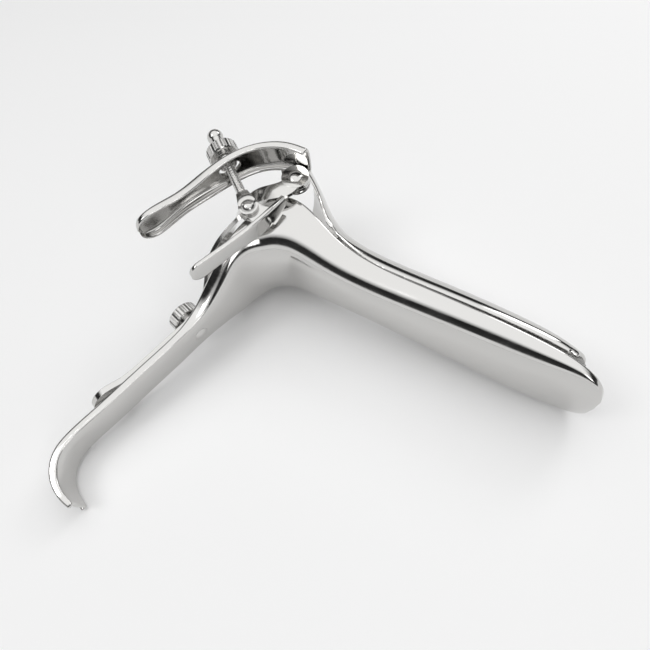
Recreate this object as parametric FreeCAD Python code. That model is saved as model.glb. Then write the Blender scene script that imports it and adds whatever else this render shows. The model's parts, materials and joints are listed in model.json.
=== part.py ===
"""Bivalve speculum: two formed blades, sliding yoke, thumb lever and angle lock. Millimetres.

The pieces are drawn in the blade frame: X runs from the handle bend to the blade tips, Y runs from
the lower blade to the upper blade, and Z runs out of the lever side. The whole instrument is then
turned by a few degrees, so that it lies on its far side on the ground plane.
"""
import FreeCAD, Part

import math
import os
from FreeCAD import Placement, Rotation, Vector

# Lower blade, handle and hook
sheet = 1.4
blade_length = 115.0
handle_angle = 104.0
bend_radius = 14.0
blade_half_width = 16.5
throat_half_width = 20.0
handle_width = 14.5
flange_height = 3.3
handle_length = 91.0
hook_radius = 12.0
hook_turn = 92.0
hook_tip = 3.0
hook_half_width = 6.0

# Upper blade
upper_length = 108.0
upper_half_width = 15.4
blade_gap = 0.5
rim_height = 11.6
collar_half_width = 21.2
collar_top = 40.0
notch_width = 5.0
notch_length = 17.0

# Blade hinge
hinge_x = -1.5
hinge_y = 26.0
hinge_pin_radius = 1.6
hinge_ear_radius = 5.0
rivet_head_radius = 2.7
rivet_head_height = 0.9
pin_clearance = 0.05
face_clearance = 0.1

# Yoke
yoke_sheet = 1.6
arm_width = 7.0
arm_edge = 0.7
tongue_thickness = 1.6
tongue_clearance = 0.25
tongue_width = 9.6
tongue_end = 66.0

# Slide bar
bar_width = 11.0
bar_thickness = 2.2
bar_start = 31.5
bar_bend = 62.0
slot_width = 3.8
slide_travel = 22.0
ring_distance = 74.0
ring_radius = 7.2
ring_bore_radius = 3.1
ring_lift_angle = 7.0
rib_height = 0.35

# Stud and slide nut
stud_distance = 36.0
stud_radius = 1.75
stud_head_radius = 2.6
stud_head_height = 0.7
nut_radius = 5.8
nut_height = 5.6
nut_flutes = 26
washer_radius = 4.6
washer_thickness = 0.8

# Finger rest and rod lug
rest_width = 8.2
rest_thickness = 2.0
lug_thickness = 1.6
pivot_x = -6.0
pivot_y = 4.5
pivot_z = 29.0
pivot_pin_radius = 1.1
fork_radius = 3.4
fork_wall = 1.2
screw_head_radius = 2.6
screw_head_height = 1.5

# Angle rod and nut
rod_radius = 1.7
rod_angle = 144.0
rod_length = 36.5
ball_radius = 3.0
rod_crossing = 21.3
hub_radius = 3.6
hub_height = 2.6
hub_gap = 0.15

# Thumb lever
lever_sheet = 1.4
lever_half_width = 6.4
lever_depth = 4.2
lever_slot_length = 8.4
lever_slot_width = 4.3
pad_ribs = 8

# Resting attitude of the whole instrument
lie_about_x = 9.47
lie_about_y = 4.25

AXIS_X = Vector(1, 0, 0)
AXIS_Y = Vector(0, 1, 0)
AXIS_Z = Vector(0, 0, 1)
turn = 180.0 - handle_angle
DOWN = Vector(math.cos(math.radians(handle_angle)), -math.sin(math.radians(handle_angle)), 0)
BACK = Vector(-math.sin(math.radians(handle_angle)), -math.cos(math.radians(handle_angle)), 0)
hinge_point = Vector(hinge_x, hinge_y, 0)
ear_face = collar_half_width
yoke_ear_inner = ear_face + lever_sheet + face_clearance
yoke_ear_outer = yoke_ear_inner + yoke_sheet
tongue_floor = sheet + tongue_clearance
bar_floor = tongue_floor + tongue_thickness
bar_top = bar_floor + bar_thickness


def handle_point(down, back, side=0.0):
    """Point given along the handle, behind its front face and out to the lever side."""
    return DOWN * down + BACK * back + AXIS_Z * side


def on_handle(shape, back):
    """Shape drawn flat (X down the handle, Y across it), set behind the handle's front face."""
    placed = shape.copy()
    placed.Placement = Placement(handle_point(0, back), Rotation(DOWN, -AXIS_Z, BACK, "XZY"))
    return placed


def turned(vector, degrees):
    """Vector turned about Z."""
    return Rotation(AXIS_Z, degrees).multVec(vector)


def superellipse(half_width, rise, power, floor):
    """Points of a trough floor from rim to rim: flat for a high power, round for a power of two."""
    points = []
    steps = 12
    for step in range(1, steps):
        angle = math.radians(-90 + 180 * step / steps)
        across = math.copysign(abs(math.sin(angle)) ** (2 / power), angle) * half_width
        up = floor + rise * (1 - abs(math.cos(angle)) ** (2 / power))
        points.append((across, up))
    return points


def trough_row(section, inset, across):
    """Points across a bent-sheet trough from rim to rim, inset by nothing or by the sheet.

    A section has the point its outer floor touches, the way it opens, its half width, its depth,
    the height at which its bend ends and the roundness of that bend.
    """
    at, opens, half_width, depth, rise, power = section
    half = half_width - inset
    bend = min(rise, depth - 0.9)
    rim = [(half, depth), (half, (bend + depth) / 2)]
    pairs = [(-p[0], p[1]) for p in rim]
    pairs += superellipse(half, bend - inset, power, inset)
    pairs += rim[::-1]
    return [at + across * pair[0] + opens * pair[1] for pair in pairs]


def shares(lines):
    """Mean distance run from line to line of a grid, as shares of the whole."""
    run = [0.0]
    for line, following in zip(lines, lines[1:]):
        run.append(run[-1] + sum((q - p).Length for p, q in zip(line, following)) / len(line))
    return [step / run[-1] for step in run]


def curve_through(points, parameters):
    """Smooth curve that meets each point at its own parameter."""
    curve = Part.BSplineCurve()
    curve.interpolate(Points=points, Parameters=parameters)
    return curve


def skin(rows):
    """Smooth faces through a grid of points, split along its length into even spans."""
    columns = list(zip(*rows))
    along = shares(rows)
    around = shares(columns)
    lengthwise = [curve_through(list(column), along) for column in columns]
    pole_rows = zip(*[curve.getPoles() for curve in lengthwise])
    crosswise = [curve_through(list(poles), around) for poles in pole_rows]
    surface = Part.BSplineSurface()
    surface.buildFromPolesMultsKnots(
        [curve.getPoles() for curve in crosswise],
        lengthwise[0].getMultiplicities(), crosswise[0].getMultiplicities(),
        lengthwise[0].getKnots(), crosswise[0].getKnots(), False, False,
        lengthwise[0].Degree, crosswise[0].Degree)
    rows_per_face = 6
    spans = max(1, round(len(rows) / rows_per_face))
    cuts = [along[round(index * (len(rows) - 1) / spans)] for index in range(spans + 1)]
    faces = []
    for start, end in zip(cuts, cuts[1:]):
        piece = surface.copy()
        piece.segment(start, end, 0.0, 1.0)
        faces.append(piece.toShape())
    return faces


def formed_sheet(sections, thickness, across=AXIS_Z):
    """Sheet metal formed to a trough: outer and inner skin, joined round their edges."""
    outer = skin([trough_row(section, 0.0, across) for section in sections])
    inner = skin([trough_row(section, thickness, across) for section in sections])
    faces = outer + inner
    for index, (outer_face, inner_face) in enumerate(zip(outer, inner)):
        first_end, rim, last_end, other_rim = zip(outer_face.Edges, inner_face.Edges)
        joins = [rim, other_rim]
        if index == 0:
            joins.append(first_end)
        if index == len(outer) - 1:
            joins.append(last_end)
        faces += [Part.makeRuledSurface(*pair) for pair in joins]
    shell = Part.makeShell(faces)
    shell.sewShape()
    body = Part.makeSolid(shell)
    if body.Volume < 0:
        body.reverse()
    return body


def strap(stations, thickness):
    """Bent strap: each station has its centre, the way its face looks and its width."""
    wires = []
    for index, (centre, facing, width) in enumerate(stations):
        before = stations[max(index - 1, 0)][0]
        after = stations[min(index + 1, len(stations) - 1)][0]
        along = (after - before).normalize()
        normal = (facing - along * facing.dot(along)).normalize() * (thickness / 2)
        across = normal.cross(along).normalize() * (width / 2)
        corners = [centre + across + normal, centre - across + normal,
                   centre - across - normal, centre + across - normal]
        wires.append(Part.makePolygon(corners + corners[:1]))
    return Part.makeLoft(wires, True, False, False, 3)


def span_edge(points):
    """Line through two points or smooth curve through more."""
    if len(points) == 2:
        return Part.makeLine(*points)
    curve = Part.BSplineCurve()
    curve.interpolate(points)
    return curve.toShape()


def side_prism(spans, low, high):
    """Prism along Z over a closed outline in the side view: each span is a line or a smooth curve."""
    edges = []
    for span in spans:
        edges.append(span_edge([Vector(p[0], p[1], low) for p in span]))
    return Part.Face(Part.Wire(edges)).extrude(AXIS_Z * (high - low))


def plate(outline, thickness):
    """Flat plate: a closed outline of points, raised along Z."""
    return Part.Face(Part.makePolygon(outline + outline[:1])).extrude(AXIS_Z * thickness)


def pin(at, direction, radius, length):
    """Plain cylinder."""
    return Part.makeCylinder(radius, length, at, direction)


def slot_cutter(centre, along, normal, length, width, height):
    """Round-ended slot, centred on a point, cut along the normal."""
    half = (length - width) / 2
    side = normal.cross(along)
    start = centre - normal * (height / 2)
    corners = [start + along * half + side * (width / 2), start - along * half + side * (width / 2),
               start - along * half - side * (width / 2), start + along * half - side * (width / 2)]
    bar = Part.Face(Part.makePolygon(corners + corners[:1])).extrude(normal * height)
    ends = [pin(start + along * reach, normal, width / 2, height) for reach in (half, -half)]
    return bar.fuse(ends).removeSplitter()


def domed_head(at, direction, radius, height):
    """Low dome of a rivet or screw head: a slice of a ball on a flat seat."""
    ball_size = (radius ** 2 + height ** 2) / (2 * height)
    ball = Part.makeSphere(ball_size, at + direction * (height - ball_size))
    return ball.common(pin(at, direction, radius * 1.2, height * 1.1))


def half_width_at(x):
    """Half width of the lower blade along its length: narrow waist, wide bill."""
    waist = 0.86 * blade_half_width
    share = max(0.0, min(1.0, (x - 35.0) / (0.87 * blade_length - 35.0)))
    return waist + (blade_half_width - waist) * math.sin(share * math.pi / 2) ** 2


def lower_blade():
    """Lower valve, throat, channel handle and hook, formed from one sheet."""
    throat = throat_half_width
    half = handle_width / 2
    length = blade_length
    sections = []
    for x, lift, half_width, rim, rise, power in (
            (length, 3.4, 7.0, 5.6, 3.0, 2.0),
            (length - 1.2, 3.1, 10.6, 6.3, 3.4, 2.0),
            (length - 3.6, 2.6, 13.4, 7.2, 4.2, 2.0),
            (length - 8.0, 1.8, 15.4, 8.4, 5.4, 2.0),
            (length - 18.0, 0.6, 16.4, 9.8, 7.6, 2.0),
            (length - 38.0, 0.0, half_width_at(length - 38.0), 11.0, 9.2, 2.0),
            (length - 60.0, 0.0, half_width_at(length - 60.0), rim_height, 9.8, 2.1),
            (36.0, 0.0, half_width_at(36.0), rim_height + 0.7, 10.2, 2.2),
            (22.0, 0.0, half_width_at(22.0) + 1.6, rim_height + 2.8, 11.4, 2.3)):
        sections.append((Vector(x, lift, 0), AXIS_Y, half_width, rim - lift, rise, power))
    tangent = bend_radius * math.tan(math.radians(turn / 2))
    bend_centre = Vector(tangent, -bend_radius, 0)
    for share, half_width, depth, rise in (
            (0.0, throat - 1.6, 18.0, 13.5), (0.17, throat - 0.6, 21.0, 14.5),
            (0.32, throat, 22.0, 14.5), (0.5, throat, 18.0, 14.0), (0.7, throat, 13.0, 12.0),
            (1.0, throat - 1.4, 9.6, 8.7)):
        opens = turned(AXIS_Y, turn * share)
        sections.append((bend_centre + opens * bend_radius, opens, half_width, depth, rise, 2.4))
    for distance, half_width, depth, rise, power in (
            (17.0, throat - 4.6, 8.4, 7.5, 2.8), (24.0, half + 4.2, 7.2, 5.4, 3.4),
            (31.0, half + 1.2, 5.6, 3.6, 4.4), (38.0, half, 4.1, 2.8, 5.0),
            (46.0, half, flange_height, 2.4, 5.0), (57.0, half, flange_height, 2.4, 5.0),
            (68.0, half, flange_height, 2.4, 5.0), (80.0, half, flange_height, 2.4, 5.0),
            (handle_length, half, flange_height, 2.4, 5.0)):
        sections.append((handle_point(distance, 0), BACK, half_width, depth, rise, power))
    hook_centre = handle_point(handle_length, -hook_radius)
    for share, half_width, depth in ((0.3, half, 3.6), (0.65, half - 0.6, 3.4),
                                     (1.0, hook_half_width, 2.6)):
        opens = turned(BACK, hook_turn * share)
        sections.append((hook_centre + opens * hook_radius, opens, half_width, depth, 2.2, 4.5))
    opens = turned(BACK, hook_turn)
    tip = hook_centre + opens * hook_radius + turned(DOWN, hook_turn) * hook_tip
    sections.append((tip, opens, hook_half_width - 0.8, 2.4, 2.2, 4.0))
    body = formed_sheet(sections, sheet)
    return body.cut(pin(handle_point(stud_distance, -2), BACK, stud_radius, 8))


def tip_outline(length, half_width, low, high):
    """Plan of a blade: rounded square end at the tip, open to the back of the instrument."""
    round_length = 13.0
    steps = 10
    outline = []
    for step in range(steps + 1):
        angle = math.radians(90 - 180 * step / steps)
        ahead = abs(math.cos(angle)) ** 0.8
        across = math.copysign(abs(math.sin(angle)) ** 0.8, angle)
        outline.append(Vector(length - round_length + round_length * ahead, low, half_width * across))
    wide = 45.0
    back = -120.0
    step_x = length - round_length - 6
    corners = [outline[-1], Vector(step_x, low, -wide), Vector(back, low, -wide),
               Vector(back, low, wide), Vector(step_x, low, wide), outline[0]]
    edges = [span_edge(outline)]
    for start, end in zip(corners, corners[1:]):
        edges.append(Part.makeLine(start, end))
    plan = Part.Face(Part.Wire(edges))
    bill = plan.extrude(AXIS_Y * (high - low))
    handle_room = Part.makeBox(160, 160, 2 * wide, Vector(-120, low - 159, -wide))
    return bill.fuse(handle_room)


def upper_blade():
    """Upper valve with its flared collar, centre notch and two hinge ears."""
    sections = []
    for x, top, half_width, depth, rise, power in (
            (upper_length + 1, 14.2, upper_half_width - 2.0, 6.0, 3.8, 2.0),
            (upper_length - 8, 17.4, upper_half_width - 0.4, 8.5, 5.8, 2.0),
            (upper_length - 22, 19.6, upper_half_width, 10.5, 7.6, 2.0),
            (upper_length - 44, 20.6, upper_half_width - 1.0, 11.5, 8.4, 2.0),
            (0.41 * upper_length, 20.8, upper_half_width - 1.8, 12.0, 8.8, 2.0),
            (30.0, 21.2, upper_half_width - 1.2, 12.5, 9.2, 2.1),
            (20.0, 23.0, collar_half_width - 4.2, 14.5, 11.0, 2.2),
            (12.0, 27.4, collar_half_width - 1.8, 18.0, 12.6, 2.3),
            (5.0, 33.2, collar_half_width, 20.0, 13.6, 2.4),
            (-1.0, 38.2, collar_half_width, 22.0, 15.0, 2.4),
            (-6.0, collar_top + 2, collar_half_width, 26.0, 16.0, 2.4)):
        sections.append((Vector(x, top, 0), -AXIS_Y, half_width, depth, rise, power))
    body = formed_sheet(sections, sheet)
    body = body.common(upper_side_outline())
    body = body.common(tip_outline(upper_length, upper_half_width + 0.6, -8.0, 60.0))
    ears, overhangs = [], []
    rooms = [pin(hinge_point - AXIS_Z * 40, AXIS_Z, hinge_pin_radius + pin_clearance, 80)]
    for side in (1, -1):
        outward = AXIS_Z * side
        seat = Vector(hinge_x, hinge_y, side * (ear_face - sheet))
        ears.append(pin(seat, outward, hinge_ear_radius, sheet))
        rooms.append(pin(seat, -outward, rivet_head_radius + 0.5, 3.0))
        overhangs.append(pin(seat + outward * sheet, outward, hinge_ear_radius + 0.3, 2.0))
    body = body.cut(overhangs).fuse(ears).cut(rooms)
    notch_end = Vector(-8 + notch_length, 22, 0)
    notch = Part.makeBox(notch_length, 60, notch_width, Vector(-8, 22, -notch_width / 2))
    notch = notch.fuse(pin(notch_end, AXIS_Y, notch_width / 2, 60))
    return body.cut(notch)


def upper_side_outline():
    """Side view of the upper blade: straight rim, ear and swept collar lip."""
    rim_y = rim_height + blade_gap
    rim = [(upper_length + 3, 10.0), (upper_length - 20, rim_y - 0.6), (0.46 * upper_length, rim_y), (28.0, 13.8),
           (14.0, 18.2), (hinge_x + 4.6, hinge_y - 4.6), (hinge_x - 4.0, hinge_y - 2.0),
           (hinge_x - 4.6, hinge_y + 4.0), (-5.0, collar_top - 4), (-4.4, collar_top + 3)]
    top = (upper_length + 3, collar_top + 3)
    return side_prism([rim, [rim[-1], top], [top, rim[0]]], -40, 40)


def lever_stations():
    """Web points of the lever with outward normals, half widths and depths, root to tip."""
    crossing = rod_axis_point(rod_crossing)
    normal = turned(AXIS_X, rod_angle)
    return [
        (Vector(0.8, 32.9, 27.6), Vector(0.12, 1, 0), lever_half_width, 3.6),
        (Vector(-6.0, 32.6, 27.8), Vector(-0.2, 1, 0), lever_half_width, 3.8),
        (Vector(-15.5, 27.6, 28.4), Vector(-0.62, 1, 0), lever_half_width, 3.4),
        (crossing, normal, lever_half_width, 3.3),
        (Vector(-28.6, 7.4, 28.4), Vector(-1, 0.50, 0), lever_half_width - 1.0, lever_depth),
        (Vector(-33.0, -2.0, 27.2), Vector(-1, 0.46, 0), lever_half_width - 1.6, 4.0),
        (Vector(-36.6, -10.0, 26.6), Vector(-1, 0.47, 0), lever_half_width - 0.4, 3.8),
        (Vector(-40.2, -18.0, 26.4), Vector(-1, 0.56, 0), lever_half_width - 0.4, 3.6),
    ]


def rod_axis_point(distance):
    """Point on the rod's axis at a distance from its pivot."""
    along = turned(AXIS_X, rod_angle)
    return Vector(pivot_x, pivot_y, pivot_z) + along * distance


def thumb_lever():
    """Channel lever: lap plate on the hinge ear, arched web with the rod slot, ribbed thumb pad."""
    sections = []
    for at, outward, half_width, depth in lever_stations():
        opens = -Vector(outward).normalize()
        sections.append((at, opens, half_width, depth, 2.6, 3.2))
    body = formed_sheet(sections, lever_sheet)
    lap_top = 33.2
    lap = plate([Vector(x, y, ear_face) for x, y in (
        (hinge_x + 4.8, hinge_y - 1.0), (0.8, lap_top - 1.6), (-6.0, lap_top - 1.8), (-9.6, 30.2),
        (-9.4, 28.4), (hinge_x - 4.4, hinge_y - 1.8))], lever_sheet)
    lap = lap.fuse(pin(Vector(hinge_x, hinge_y, ear_face), AXIS_Z, hinge_ear_radius, lever_sheet))
    body = body.fuse(lap).fuse(lever_ribs())
    normal = turned(AXIS_X, rod_angle)
    along = turned(normal, 90)
    body = body.cut(slot_cutter(rod_axis_point(rod_crossing), along, normal, lever_slot_length,
                                lever_slot_width, 9))
    ear_room = pin(Vector(hinge_x, hinge_y, ear_face + lever_sheet), AXIS_Z, hinge_ear_radius + 0.3, 4)
    body = body.cut(ear_room).cut(upper_blade())
    return body.cut(pin(hinge_point, AXIS_Z, hinge_pin_radius + pin_clearance, 40))


def lever_ribs():
    """Half-round ribs over the thumb pad, across the outer face."""
    (start, outward, half_width, _), (end, _, _, _) = lever_stations()[-2:]
    out = Vector(outward).normalize()
    ribs = []
    for index in range(pad_ribs):
        centre = start + (end - start) * ((index + 0.6) / pad_ribs) - out * 0.15
        reach = 0.62 * half_width
        ribs.append(pin(centre - AXIS_Z * reach, AXIS_Z, rib_height, 2 * reach))
    return ribs


def yoke_arm(side):
    """Twisted strap: edgewise beside the throat at the ear, flatwise behind it at the neck."""
    ear_mid = (yoke_ear_inner + yoke_ear_outer) / 2
    stations = []
    for centre, twist, width in (
            (Vector(hinge_x, hinge_y - 1, side * ear_mid), 0.0, arm_width),
            (Vector(-5.2, 17.0, side * ear_mid), 4.5, arm_width),
            (handle_point(-8.0, 13.0, side * (ear_mid - 0.8)), 22.0, arm_width),
            (handle_point(2.0, 13.2, side * (ear_mid - 4.2)), 60.0, arm_width),
            (handle_point(11.0, 12.6, side * (ear_mid - 9.4)), 90.0, arm_width),
            (handle_point(18.5, 9.9, side * 8.0), 90.0, arm_width + 1),
            (handle_point(23.5, 7.2, side * 3.0), 90.0, arm_width + 2)):
        share = math.radians(twist)
        stations.append((centre, AXIS_Z * side * math.cos(share) + BACK * math.sin(share), width))
    return strap(stations, yoke_sheet)


def yoke_frame():
    """Wishbone yoke: two arms with hinge ears, a neck and the tongue that runs in the handle."""
    mid = tongue_floor + tongue_thickness / 2
    stations = []
    for down, back, width in ((16.5, 10.4, 13.0), (20.0, 8.9, 13.5), (23.5, 6.2, 12.8),
                              (27.0, mid + 0.7, tongue_width + 0.6), (30.5, mid, tongue_width)):
        stations.append((handle_point(down, back), BACK, width))
    neck = strap(stations, tongue_thickness)
    half = tongue_width / 2
    tongue = plate([Vector(30.4, -half, 0), Vector(tongue_end, -half, 0), Vector(tongue_end, half, 0),
                    Vector(30.4, half, 0)], tongue_thickness)
    body = on_handle(tongue, tongue_floor).fuse([neck, yoke_arm(1), yoke_arm(-1)])
    for side in (1, -1):
        seat = Vector(hinge_x, hinge_y, side * yoke_ear_inner)
        body = body.fuse(pin(seat, AXIS_Z * side, hinge_ear_radius, yoke_sheet))
    body = body.cut(bar_slot())
    return body.cut(pin(hinge_point - AXIS_Z * 40, AXIS_Z, hinge_pin_radius, 80))


def bar_slot():
    """Slot that passes the stud over the whole travel."""
    centre = handle_point(stud_distance + slide_travel / 2, (tongue_floor + bar_top) / 2)
    return slot_cutter(centre, DOWN, BACK, slide_travel + slot_width + 0.4, slot_width, 12)


def slide_bar():
    """Slotted bar with a squared upper end and a ribbed, pear-shaped ring end bent off the handle."""
    straight = plate([Vector(down, across, 0) for down, across in (
        (bar_start + 1, -bar_width / 2), (bar_bend, -bar_width / 2), (bar_bend, bar_width / 2),
        (bar_start + 1, bar_width / 2), (bar_start, bar_width / 2 - 1), (bar_start, 1 - bar_width / 2),
    )], bar_thickness)
    reach = ring_distance - bar_bend
    pear = plate([Vector(down, across, 0) for down, across in (
        (-0.14, -bar_width / 2), (0.45 * reach, -bar_width / 2), (reach - 2, -ring_radius + 0.3),
        (reach - 2, ring_radius - 0.3), (0.45 * reach, bar_width / 2), (-0.14, bar_width / 2),
    )], bar_thickness)
    centre = Vector(reach, 0, 0)
    pear = pear.fuse(pin(centre, AXIS_Z, ring_radius, bar_thickness))
    ribs = []
    for index in range(-4, 5):
        offset = index * 1.35
        half_length = math.sqrt((ring_radius - 0.8) ** 2 - offset ** 2)
        start = centre + Vector(offset, -half_length, bar_thickness - 0.15)
        ribs.append(pin(start, AXIS_Y, rib_height + 0.15, 2 * half_length))
    pear = pear.fuse(ribs).cut(pin(centre - AXIS_Z, AXIS_Z, ring_bore_radius, bar_thickness + 3))
    pear.rotate(Vector(), AXIS_Y, -ring_lift_angle)
    pear.translate(Vector(bar_bend, 0, 0))
    body = straight.fuse(pear).removeSplitter()
    return on_handle(body, bar_floor).cut(bar_slot())


def finger_rest():
    """Strap beside the lever with a ribbed round end, and the bent-off lug for the angle rod."""
    root_z = yoke_ear_outer + rest_width / 2 - 1.8
    stations = []
    for centre, facing, width in (
            (Vector(0.6, 14.5, root_z - 1.6), Vector(-1, 0.0, 0), 5.0),
            (Vector(0.8, 8.0, root_z - 0.4), Vector(-1, -0.05, 0), 7.4),
            (Vector(-0.4, 1.0, root_z), Vector(-1, 0.2, 0), rest_width),
            (Vector(-4.6, -9.0, root_z - 0.6), Vector(-1, 0.32, 0), rest_width),
            (Vector(-9.6, -21.0, root_z - 1.4), Vector(-1, 0.34, 0), rest_width)):
        stations.append((centre, facing.normalize(), width))
    body = strap(stations, rest_thickness)
    end_at, end_normal, _ = stations[-1]
    end_along = AXIS_Z.cross(end_normal)
    disc = pin(end_at - end_normal * (rest_thickness / 2), end_normal, rest_width / 2 + 0.2,
               rest_thickness)
    ribs = []
    for index in range(-3, 4):
        offset = index * 1.05
        half_length = math.sqrt((rest_width / 2 - 0.5) ** 2 - offset ** 2)
        start = end_at + end_along * offset + end_normal * (rest_thickness / 2 - 0.15)
        ribs.append(pin(start - AXIS_Z * half_length, AXIS_Z, rib_height + 0.1, 2 * half_length))
    pivot = Vector(pivot_x, pivot_y, pivot_z - lug_thickness / 2)
    lug = plate([Vector(1.0, 8.2, pivot.z), pivot + AXIS_Y * 3, pivot - AXIS_Y * 3,
                 Vector(0.2, 0.0, pivot.z)], lug_thickness)
    lug = lug.fuse(pin(pivot, AXIS_Z, 3.0, lug_thickness))
    body = body.fuse([disc, lug] + ribs)
    body = body.cut(pin(pivot - AXIS_Z * 20, AXIS_Z, pivot_pin_radius, 60))
    return body.cut(yoke_frame())


def angle_rod():
    """Threaded rod with a forked end that straddles the lug."""
    along = turned(AXIS_X, rod_angle)
    pivot = Vector(pivot_x, pivot_y, pivot_z)
    fork_gap = lug_thickness + 2 * face_clearance
    fork_height = fork_gap + 2 * fork_wall
    fork_reach = 6.4
    side = AXIS_Z.cross(along)
    low = pivot - AXIS_Z * (fork_height / 2)
    block = [low + side * fork_radius, low - side * fork_radius,
             low - side * (fork_radius * 0.6) + along * fork_reach,
             low + side * (fork_radius * 0.6) + along * fork_reach]
    body = Part.Face(Part.makePolygon(block + block[:1])).extrude(AXIS_Z * fork_height)
    body = body.fuse(pin(low, AXIS_Z, fork_radius, fork_height))
    mouth = Part.makeBox(14, 14, fork_gap)
    mouth.Placement = Placement(pivot - AXIS_Z * (fork_gap / 2), Rotation(AXIS_Z, rod_angle))
    mouth.Placement = Placement(pivot - AXIS_Z * (fork_gap / 2) - side * 7 - along * (14 - fork_radius - 0.5),
                                Rotation(AXIS_Z, rod_angle))
    body = body.cut(mouth)
    shank = pin(pivot + along * (fork_reach - 1), along, rod_radius, rod_length - fork_reach + 1)
    body = body.fuse(shank)
    return body.cut(pin(pivot - AXIS_Z * 10, AXIS_Z, pivot_pin_radius + pin_clearance, 20))


def ball_stop():
    """Ball on the free end of the rod, bored for it."""
    along = turned(AXIS_X, rod_angle)
    centre = rod_axis_point(rod_length)
    ball = Part.makeSphere(ball_radius, centre)
    neck = Part.makeCone(rod_radius + 0.5, ball_radius * 0.8, 2.0, centre - along * 4.0, along)
    body = ball.fuse(neck)
    return body.cut(pin(centre - along * 10, along, rod_radius, 10))


def rod_pivot_screw():
    """Slotted screw with a domed head, its end peened under the fork."""
    fork_half = lug_thickness / 2 + face_clearance + fork_wall
    pivot = Vector(pivot_x, pivot_y, pivot_z)
    top = pivot + AXIS_Z * fork_half
    body = pin(pivot - AXIS_Z * fork_half, AXIS_Z, pivot_pin_radius, 2 * fork_half)
    body = body.fuse(domed_head(top, AXIS_Z, screw_head_radius, screw_head_height))
    body = body.fuse(domed_head(pivot - AXIS_Z * fork_half, -AXIS_Z, 1.7, 0.6))
    slot = Part.makeBox(8, 0.7, 2, Vector(-4, -0.35, 0))
    slot.Placement = Placement(top + AXIS_Z * (screw_head_height - 0.7), Rotation(AXIS_Z, 35))
    return body.cut(slot)


def knurled_nut(seat, along, bore):
    """Round thumb nut: fluted rim with chamfers and a short plain hub toward its seat."""
    hub = 0.9
    chamfer = 0.5
    profile = [(bore, 0), (nut_radius * 0.66, 0), (nut_radius * 0.66, hub), (nut_radius - chamfer, hub),
               (nut_radius, hub + chamfer), (nut_radius, nut_height - chamfer),
               (nut_radius - chamfer, nut_height), (bore, nut_height), (bore, 0)]
    across = along.cross(AXIS_Z)
    points = [seat + across * r + along * h for r, h in profile]
    body = Part.Face(Part.makePolygon(points)).revolve(seat, along, 360)
    cutters = []
    depth = 0.28
    for index in range(nut_flutes):
        out = Rotation(along, 360.0 * index / nut_flutes).multVec(across)
        side = along.cross(out)
        edge = seat + out * (nut_radius + 0.02) + along * hub
        width = 0.36
        tooth = [edge - side * width, edge + side * width, edge - out * depth]
        cutters.append(Part.Face(Part.makePolygon(tooth + tooth[:1])).extrude(along * nut_height))
    return body.cut(Part.makeCompound(cutters))


def angle_washer():
    """Domed hub between the angle nut and the lever."""
    along = turned(AXIS_X, rod_angle)
    seat = rod_axis_point(rod_crossing + hub_gap)
    body = pin(seat, along, hub_radius, hub_height)
    rim = [e for e in body.Edges if len(e.Vertexes) == 1]
    body = body.makeFillet(1.0, rim)
    return body.cut(pin(seat - along, along, rod_radius + pin_clearance, hub_height + 2))


def angle_nut():
    """Knurled nut on the rod."""
    along = turned(AXIS_X, rod_angle)
    seat = rod_axis_point(rod_crossing + hub_gap + hub_height + face_clearance)
    return knurled_nut(seat, along, rod_radius + pin_clearance)


def slide_stud():
    """Stud riveted through the handle, with a peened head on the front face."""
    start = handle_point(stud_distance, 0)
    end_back = bar_top + 2 * face_clearance + washer_thickness + nut_height + 1.0
    body = pin(start, BACK, stud_radius, end_back)
    body = body.fuse(domed_head(start, -BACK, stud_head_radius, stud_head_height))
    dimple = Part.makeSphere(0.8, handle_point(stud_distance, end_back + 0.3))
    return body.cut(dimple)


def slide_washer():
    """Washer between the slide nut and the slotted bar."""
    seat = handle_point(stud_distance, bar_top + face_clearance)
    body = pin(seat, BACK, washer_radius, washer_thickness)
    return body.cut(pin(seat - BACK, BACK, stud_radius + pin_clearance, washer_thickness + 2))


def slide_nut():
    """Knurled thumb nut that locks the slide."""
    seat = handle_point(stud_distance, bar_top + 2 * face_clearance + washer_thickness)
    return knurled_nut(seat, BACK, stud_radius + pin_clearance)


def hinge_rivet(side):
    """Hinge pin fast in the yoke ear, domed outside and headed inside the blade ear."""
    outward = AXIS_Z * side
    inner = Vector(hinge_x, hinge_y, side * (ear_face - sheet - face_clearance))
    outer = Vector(hinge_x, hinge_y, side * yoke_ear_outer)
    body = pin(inner, outward, hinge_pin_radius, (outer - inner).Length)
    body = body.fuse(domed_head(outer, outward, rivet_head_radius, rivet_head_height))
    return body.fuse(domed_head(inner, -outward, rivet_head_radius - 0.3, rivet_head_height))


def hinge_washer():
    """Spacer on the far side, as thick as the lever's lap plate."""
    seat = Vector(hinge_x, hinge_y, -ear_face)
    body = pin(seat, -AXIS_Z, hinge_ear_radius - 0.6, lever_sheet)
    return body.cut(pin(seat + AXIS_Z, -AXIS_Z, hinge_pin_radius + pin_clearance, 10))


def build():
    """All pieces by name, in the blade frame."""
    return {
        "lower_blade": lower_blade(),
        "upper_blade": upper_blade(),
        "thumb_lever": thumb_lever(),
        "yoke_frame": yoke_frame(),
        "slide_bar": slide_bar(),
        "finger_rest": finger_rest(),
        "angle_rod": angle_rod(),
        "ball_stop": ball_stop(),
        "rod_pivot_screw": rod_pivot_screw(),
        "angle_washer": angle_washer(),
        "angle_nut": angle_nut(),
        "slide_stud": slide_stud(),
        "slide_washer": slide_washer(),
        "slide_nut": slide_nut(),
        "hinge_rivet_lever_side": hinge_rivet(1),
        "hinge_rivet_far_side": hinge_rivet(-1),
        "hinge_washer": hinge_washer(),
    }


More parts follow.
